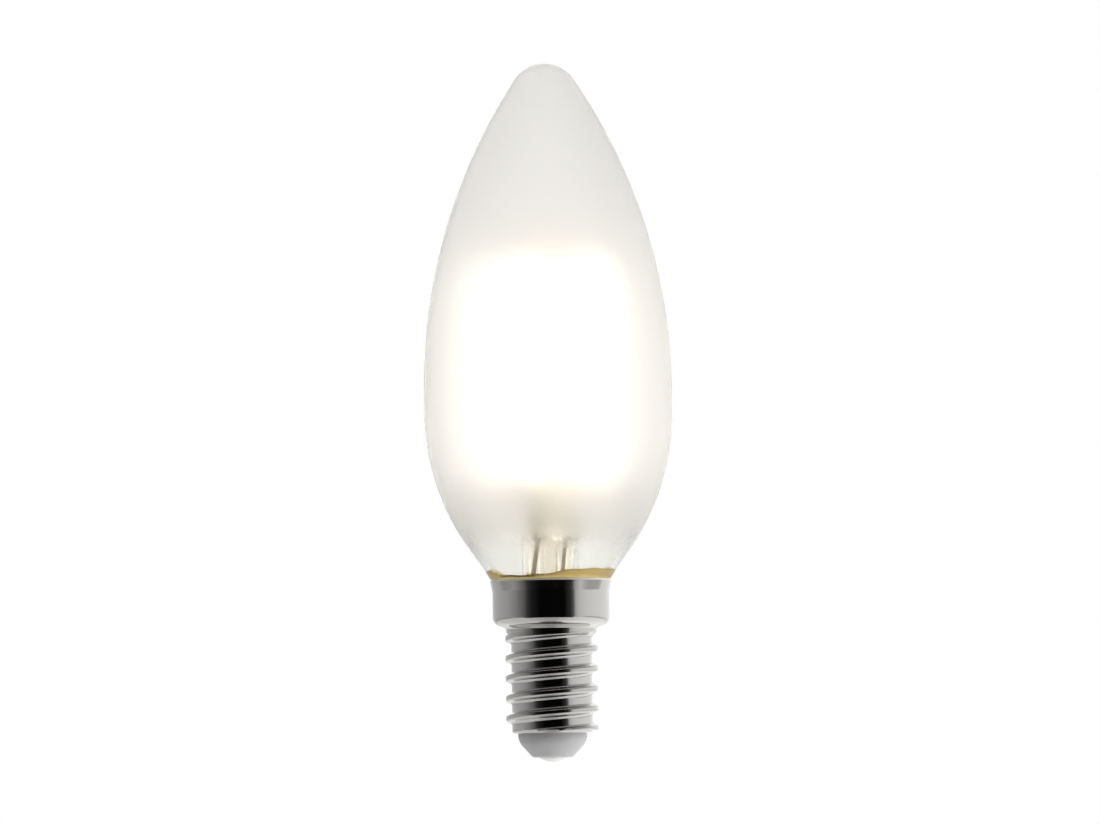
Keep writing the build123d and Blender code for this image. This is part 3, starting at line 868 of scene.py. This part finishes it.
class CANDLE_OT_cement(bpy.types.Operator):
    """Capping resin between neck and skirt, squeezed out in a bead that is higher on the right"""

    bl_idname = "candle.cement"
    bl_label = "Capping resin"

    def execute(self, context):
        cement = context.scene.candle_cement
        bulb = context.scene.candle_glass
        cap = context.scene.candle_cap
        slope = tan(bulb.cone_angle)
        sink = 0.03 * MM
        gap = 0.01 * MM
        overhang = 0.02 * MM
        throat_depth = 1.2 * MM
        steps = 6
        skirt_bore = cap.skirt_radius - cap.sheet
        lip_bore = cap.lip_radius - cap.sheet
        rim = cap.rim_height
        bm = bmesh.new()

        # Down in the skirt, over the lip's inner edge, up along the glass cone and back down inside it
        first = bm.verts.new((bulb.neck_radius - sink, 0, cement_foot))
        point = draw_lines(
            bm,
            first,
            (skirt_bore - gap, cement_foot),
            (skirt_bore - gap, rim - cap.lip_height),
            (lip_bore - gap, rim),
            (lip_bore + overhang, rim + overhang),
        )
        for i in range(1, steps + 1):
            share = i / steps
            level = rim + overhang + (cement.bead - overhang) * share
            on_glass = bulb.rim_radius + (level - rim) * slope
            point = draw_lines(bm, point, (on_glass + cement.film * (1 - share) + gap, level))
        last = draw_lines(
            bm,
            point,
            (bulb.rim_radius + cement.bead * slope - sink, rim + cement.bead),
            (bulb.rim_radius - sink, rim),
            (bulb.neck_radius - sink, rim - throat_depth),
        )
        bm.edges.new((last, first))
        turn_section(bm, 128)

        # The bead stands high on the right, thin in front and higher again at the far left, and ripples
        right_place = (-0.15, 0.4)
        corner_place = (-0.75, -1.0)
        ripple = 0.05 * MM
        fine_ripple = 0.04 * MM
        for vert in bm.verts:
            share = smoothstep(0, cement.bead, vert.co.z - rim)
            if share:
                angle = atan2(vert.co.y, vert.co.x)
                radius = hypot(vert.co.x, vert.co.y)
                across = vert.co.x / radius
                lift = cement.run * smoothstep(*right_place, across)
                lift += cement.corner * smoothstep(*corner_place, across)
                lift += ripple * sin(7 * angle + 0.6) + fine_ripple * sin(13 * angle)
                lift *= share
                grown = (radius + lift * slope) / radius
                vert.co = (vert.co.x * grown, vert.co.y * grown, vert.co.z + lift)
        place_piece(bm, "capping_resin", ["capping_cement"], [amber_resin(cement)])
        return {"FINISHED"}


def draw_rod(bm, filament, length):
    """Coating of one filament along Z: an oval rod that rounds off at both ends."""
    # Share of the full section, and height above the end
    rings = [(0.45, 0.0), (0.8, 0.12 * MM), (0.95, 0.3 * MM), (1.0, 0.5 * MM)]
    rings += [(scale, length - level) for scale, level in reversed(rings)]
    last_scale, last_level = rings[0]
    bmesh.ops.create_circle(bm, cap_ends=True, segments=28, radius=last_scale)
    bmesh.ops.scale(bm, vec=(filament.half_thickness, filament.half_width, 1), verts=bm.verts)
    edges = bm.edges[:]
    for scale, level in rings[1:]:
        edges = grow_ring(bm, edges, (scale / last_scale,) * 2, level - last_level)
        last_scale, last_level = scale, level
    bmesh.ops.contextual_create(bm, geom=edges)
    bmesh.ops.recalc_face_normals(bm, faces=bm.faces)


class CANDLE_OT_filaments(bpy.types.Operator):
    """Four lit filaments: phosphor silicone with rounded ends round each carrier strip"""

    bl_idname = "candle.filaments"
    bl_label = "Filaments"

    def execute(self, context):
        filament = context.scene.candle_filament
        silicone = phosphor_silicone(filament)
        strip_metal = plated_metal(
            "carrier_strip_steel", linear("#cfcdc6"), roughness=0.35, spread=0.08, grain=0.3 * MM
        )
        turn = Matrix.Rotation(filament.mount_turn, 4, "Z")
        places = [(side, depth) for side in ("left", "right") for depth in ("front", "back")]
        for side, depth in places:
            place = f"{side}_{depth}"
            across = -1 if side == "left" else 1
            back = filament.depth if depth == "back" else -filament.depth
            foot = Vector((across * filament.spread_low, back, filament.foot_height))
            top = Vector((across * filament.spread_top, back, filament.top_height))
            along = (top - foot).normalized()
            bm = bmesh.new()
            draw_rod(bm, filament, (top - foot).length - 2 * filament.tab)
            lean = UP.rotation_difference(along).to_matrix().to_4x4()
            seat = turn @ Matrix.Translation(foot + along * filament.tab) @ lean
            bmesh.ops.transform(bm, matrix=seat, verts=bm.verts)
            coat = f"filament_coat_{place}"
            place_piece(bm, f"phosphor_rod_{place}", [coat], [silicone], sharp=60)
            paint_node(f"filament_strip_{place}", strip_metal)
        return {"FINISHED"}


class CANDLE_OT_wires(bpy.types.Operator):
    """Finish of the lead, cross and bridge wires"""

    bl_idname = "candle.wires"
    bl_label = "Wires"

    def execute(self, context):
        wire = plated_metal(
            "copper_clad_wire", linear("#9a7f4e"), roughness=0.38, spread=0.08, grain=0.2 * MM
        )
        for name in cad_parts:
            if name.startswith(("lead_wire", "cross_wire", "bridge_wire")):
                paint_node(name, wire)
        return {"FINISHED"}


class CANDLE_OT_driver(bpy.types.Operator):
    """Finishes of the driver inside the cap"""

    bl_idname = "candle.driver"
    bl_label = "Driver"

    def execute(self, context):
        laminate = matt_skin("solder_masked_laminate", linear("#2f6b4a"), roughness=0.35, grit=0.15 * MM)
        epoxy = matt_skin("moulded_epoxy", linear("#232325"), roughness=0.55, grit=0.1 * MM)
        sleeve = matt_skin("shrink_sleeve", linear("#27335c"), roughness=0.3, grit=0.4 * MM)
        tinned = plated_metal(
            "tinned_copper_wire", linear("#c9c6bf"), roughness=0.3, spread=0.06, grain=0.2 * MM
        )
        finishes = {
            "driver_board": laminate,
            "bridge_rectifier": epoxy,
            "current_regulator": epoxy,
            "smoothing_capacitor": sleeve,
            "live_wire": tinned,
            "neutral_wire": tinned,
        }
        for name, material in finishes.items():
            paint_node(name, material)
        return {"FINISHED"}


# Stage

def lay_floor(stage):
    """Pale paper with a faint fibre, well below the bulb that its lampholder would carry."""
    bm = bmesh.new()
    reach = 3.0
    bmesh.ops.create_grid(bm, x_segments=1, y_segments=1, size=reach)
    bmesh.ops.translate(bm, vec=(0, 0, stage.floor_height), verts=bm.verts)
    paper, tree, coords = start_material("pale_paper")
    fibre_size = 1.5 * MM
    tones = {6: linear("#f4f4f2"), 7: linear("#fbfbfa")}
    fibres = add_node(tree, "TexNoise", {"Scale": 1 / fibre_size}, {"Vector": coords})
    tone = add_node(tree, "Mix", {"data_type": "RGBA", **tones}, {0: fibres})
    shader = add_node(tree, "BsdfPrincipled", {"Roughness": 0.8}, {"Base Color": tone})
    add_node(tree, "OutputMaterial", links={"Surface": shader})
    make_object(bm, "floor", [paper])


def card_cloth(stage, name, reach, stops, fade):
    """Lit cloth: stops give its brightness by azimuth in degrees, with the camera's side at 0.

    Fade gives the two elevations between which it darkens, and the share that is left above them.
    """
    left, right = reach
    material, tree, coords = start_material(f"{name}_cloth")
    parts = add_node(tree, "SeparateXYZ", links={"Vector": coords}).outputs
    back = add_node(tree, "Math", {"operation": "MULTIPLY", 1: -1.0}, {0: parts["Y"]})
    azimuth = add_node(tree, "Math", {"operation": "ARCTAN2"}, {0: parts["X"], 1: back})
    share = add_node(tree, "MapRange", {"From Min": left, "From Max": right}, {"Value": azimuth})
    ramp = add_node(tree, "ValToRGB", links={"Fac": share})
    elements = ramp.color_ramp.elements
    elements[0].color = (stops[0][1],) * 3 + (1,)
    elements[1].color = (stops[-1][1],) * 3 + (1,)
    for angle, level in stops[1:-1]:
        elements.new((radians(angle) - left) / (right - left)).color = (level,) * 3 + (1,)
    links = {"Color": ramp}
    if fade:
        start, end, rest = fade
        heights = {
            "From Min": stage.tent_height + stage.tent_radius * sin(start),
            "From Max": stage.tent_height + stage.tent_radius * sin(end),
        }
        links["Strength"] = add_node(
            tree,
            "MapRange",
            {"interpolation_type": "SMOOTHSTEP", "To Min": 1.0, "To Max": rest, **heights},
            {"Value": parts["Z"]},
        )
    glow = add_node(tree, "Emission", links=links)
    add_node(tree, "OutputMaterial", links={"Surface": glow})
    return material


def hang_card(stage, name, reach, levels, stops, fade=None):
    """Card of a studio tent round the cap, between two azimuths and two elevations."""
    left, right = reach
    low, high = levels
    bm = bmesh.new()
    point = bm.verts.new((stage.tent_radius * cos(low), 0, stage.tent_radius * sin(low)))
    draw_arc(bm, point, (0, 0), high - low, 16)
    bmesh.ops.rotate(bm, matrix=Matrix.Rotation(left - pi / 2, 3, "Z"), verts=bm.verts)
    bmesh.ops.spin(bm, geom=bm.verts[:] + bm.edges[:], axis=UP, angle=right - left, steps=48)
    bmesh.ops.translate(bm, vec=(0, 0, stage.tent_height), verts=bm.verts)
    card = make_object(bm, name, [card_cloth(stage, name, reach, stops, fade)])
    card.visible_camera = False
    card.visible_transmission = False
    card.visible_volume_scatter = False
    return card


def hang_tent(stage):
    """Dark flag at the camera's side, which also shades the matt parts, and cards for the plating alone."""
    pole = radians(89)
    front = (stage.flag_left, stage.flag_right)
    dark = [(-54, 0.13), (-46, 0.042), (-38, 0.014), (-21, 0.002), (26, 0.002), (38, 0.03), (45.5, 0.12)]
    hang_card(stage, "dark_flag", front, (stage.flag_low, stage.flag_high), dark)

    # Dark ceiling, side panels that darken upwards, a pale table with a darker edge, and a dark stand
    left = (-pi, stage.flag_left)
    right = (stage.flag_right, pi)
    left_side = (stage.left_reach, stage.flag_left)
    right_side = (stage.flag_right, stage.right_reach)
    panel = (stage.side_low, pole)
    edge = (stage.table_high, stage.side_low)
    table = (stage.table_low, stage.table_high)
    fade = (radians(5), radians(62), 0.09)
    left_grey = [(-166, 0.9), (-159, 0.66), (-143, 0.52), (-123, 0.46), (-94, 0.39)]
    left_grey += [(-73, 0.27), (-54, 0.12)]
    right_grey = [(45.5, 0.3), (52, 0.55), (60, 0.65), (76, 0.74), (96, 0.8), (132, 0.88), (162, 1.0)]
    left_edge = [(-180, 0.9), (-140, 0.42), (-100, 0.31), (-76, 0.34), (-54, 0.12)]
    right_edge = [(45.5, 0.3), (60, 0.65), (70, 0.5), (78, 0.43), (102, 0.46), (130, 0.7), (180, 1.0)]
    front_pale = [(-54, 0.56), (-26, 0.46), (-8, 0.4), (10, 0.42), (30, 0.6), (45.5, 0.7)]
    cards = [
        ("dark_ceiling", front, (stage.flag_high, pole), [(-54, 0.01), (45.5, 0.01)], None),
        ("left_panel", left_side, panel, left_grey, fade),
        ("right_panel", right_side, panel, right_grey, fade),
        ("left_edge", left, edge, left_edge, None),
        ("right_edge", right, edge, right_edge, None),
        ("left_table", left, table, [(-180, 0.95), (-140, 0.7), (-90, 0.62), (-54, 0.6)], None),
        ("right_table", right, table, [(45.5, 0.7), (90, 0.9), (135, 1.0), (180, 1.1)], None),
        ("front_table", front, (stage.table_low, stage.flag_low), front_pale, None),
        ("dark_stand", (-pi, pi), (-pole, stage.table_low), [(-180, 0.08), (180, 0.08)], None),
    ]
    for row in cards:
        card = hang_card(stage, *row)
        card.visible_diffuse = False
        card.visible_shadow = False


def white_room(stage):
    """World that is full white where it is seen straight, mirrored or through glass."""
    world = bpy.data.worlds.new("white_room")
    world.use_nodes = True
    tree = world.node_tree
    tree.nodes.clear()
    path = add_node(tree, "LightPath").outputs
    seen = path["Is Camera Ray"]
    for ray in ("Is Glossy Ray", "Is Transmission Ray"):
        seen = add_node(tree, "Math", {"operation": "MAXIMUM"}, {0: seen, 1: path[ray]})
    strength = add_node(tree, "MapRange", {"To Min": stage.ambient, "To Max": 1.0}, {"Value": seen})
    white = add_node(tree, "Background", {"Color": (1, 1, 1, 1)}, {"Strength": strength})
    add_node(tree, "OutputWorld", links={"Surface": white})
    return world


def soft_box(name, size, power, place, target):
    """Square lamp that isn't seen in mirrors or through glass."""
    lamp = bpy.data.lights.new(name, "AREA")
    lamp.shape = "RECTANGLE"
    lamp.size = size
    lamp.size_y = size
    lamp.energy = power
    box = bpy.data.objects.new(name, lamp)
    box.location = place
    box.rotation_mode = "QUATERNION"
    box.rotation_quaternion = (Vector(target) - Vector(place)).to_track_quat("-Z", "Y")
    box.visible_camera = False
    box.visible_glossy = False
    box.visible_transmission = False
    bpy.context.scene.collection.objects.link(box)


def aim_camera(stage):
    """Camera that frames the bulb from slightly below."""
    camera = bpy.data.cameras.new("camera")
    target = Vector((stage.target_side, 0, stage.target_height))
    place = Vector((stage.target_side, -stage.camera_distance, stage.camera_height))
    away = target - place
    camera.sensor_width = 36
    camera.lens = camera.sensor_width * away.length / stage.frame_width
    eye = bpy.data.objects.new("camera", camera)
    eye.location = place
    eye.rotation_mode = "QUATERNION"
    look = away.to_track_quat("-Z", "Y").to_matrix()
    eye.rotation_quaternion = (look @ Matrix.Rotation(stage.roll, 3, "Z")).to_quaternion()
    bpy.context.scene.collection.objects.link(eye)
    return eye


class CANDLE_OT_stage(bpy.types.Operator):
    """Pale floor, studio tent, white room, soft boxes and the camera"""

    bl_idname = "candle.stage"
    bl_label = "Stage"

    def execute(self, context):
        scene = context.scene
        stage = scene.candle_stage
        lay_floor(stage)
        hang_tent(stage)
        scene.world = white_room(stage)
        soft_box("top_box", size=0.6, power=3.0, place=(0.1, 0.15, 0.75), target=(0, 0, 0.03))
        soft_box("low_box", size=0.08, power=0.24, place=(0.15, -0.03, -0.1), target=(0, 0, 0.002))
        soft_box("right_box", size=0.3, power=1.2, place=(0.5, -0.05, 0.34), target=(0, 0, 0.02))
        scene.camera = aim_camera(stage)
        scene.view_settings.view_transform = "Standard"
        scene.cycles.max_bounces = 24
        scene.cycles.transmission_bounces = 24
        scene.cycles.glossy_bounces = 8
        return {"FINISHED"}


class CANDLE_PT_panel(bpy.types.Panel):
    """The bulb's pieces and their sizes"""

    bl_idname = "CANDLE_PT_panel"
    bl_label = "Candle bulb"
    bl_space_type = "VIEW_3D"
    bl_region_type = "UI"
    bl_category = "Candle bulb"

    def draw(self, context):
        for operator in operators:
            self.layout.operator(operator.bl_idname)
        for key, group in groups.items():
            box = self.layout.box()
            for name in group.__annotations__:
                box.prop(getattr(context.scene, key), name)


groups = {
    "candle_glass": CandleGlass,
    "candle_stem": CandleStem,
    "candle_cap": CandleCap,
    "candle_foot": CandleFoot,
    "candle_cement": CandleCement,
    "candle_filament": CandleFilament,
    "candle_stage": CandleStage,
}
operators = [
    CANDLE_OT_bulb,
    CANDLE_OT_stem,
    CANDLE_OT_cap,
    CANDLE_OT_foot,
    CANDLE_OT_cement,
    CANDLE_OT_filaments,
    CANDLE_OT_wires,
    CANDLE_OT_driver,
    CANDLE_OT_stage,
]
classes = [*groups.values(), *operators, CANDLE_PT_panel]


def register():
    for item in classes:
        bpy.utils.register_class(item)
    for key, group in groups.items():
        setattr(bpy.types.Scene, key, PointerProperty(type=group))


def unregister():
    for key in groups:
        delattr(bpy.types.Scene, key)
    for item in reversed(classes):
        bpy.utils.unregister_class(item)


def main():
    register()
    bpy.ops.candle.bulb()
    bpy.ops.candle.stem()
    bpy.ops.candle.cap()
    bpy.ops.candle.foot()
    bpy.ops.candle.cement()
    bpy.ops.candle.filaments()
    bpy.ops.candle.wires()
    bpy.ops.candle.driver()
    bpy.ops.candle.stage()


if __name__ == "__main__":
    main()
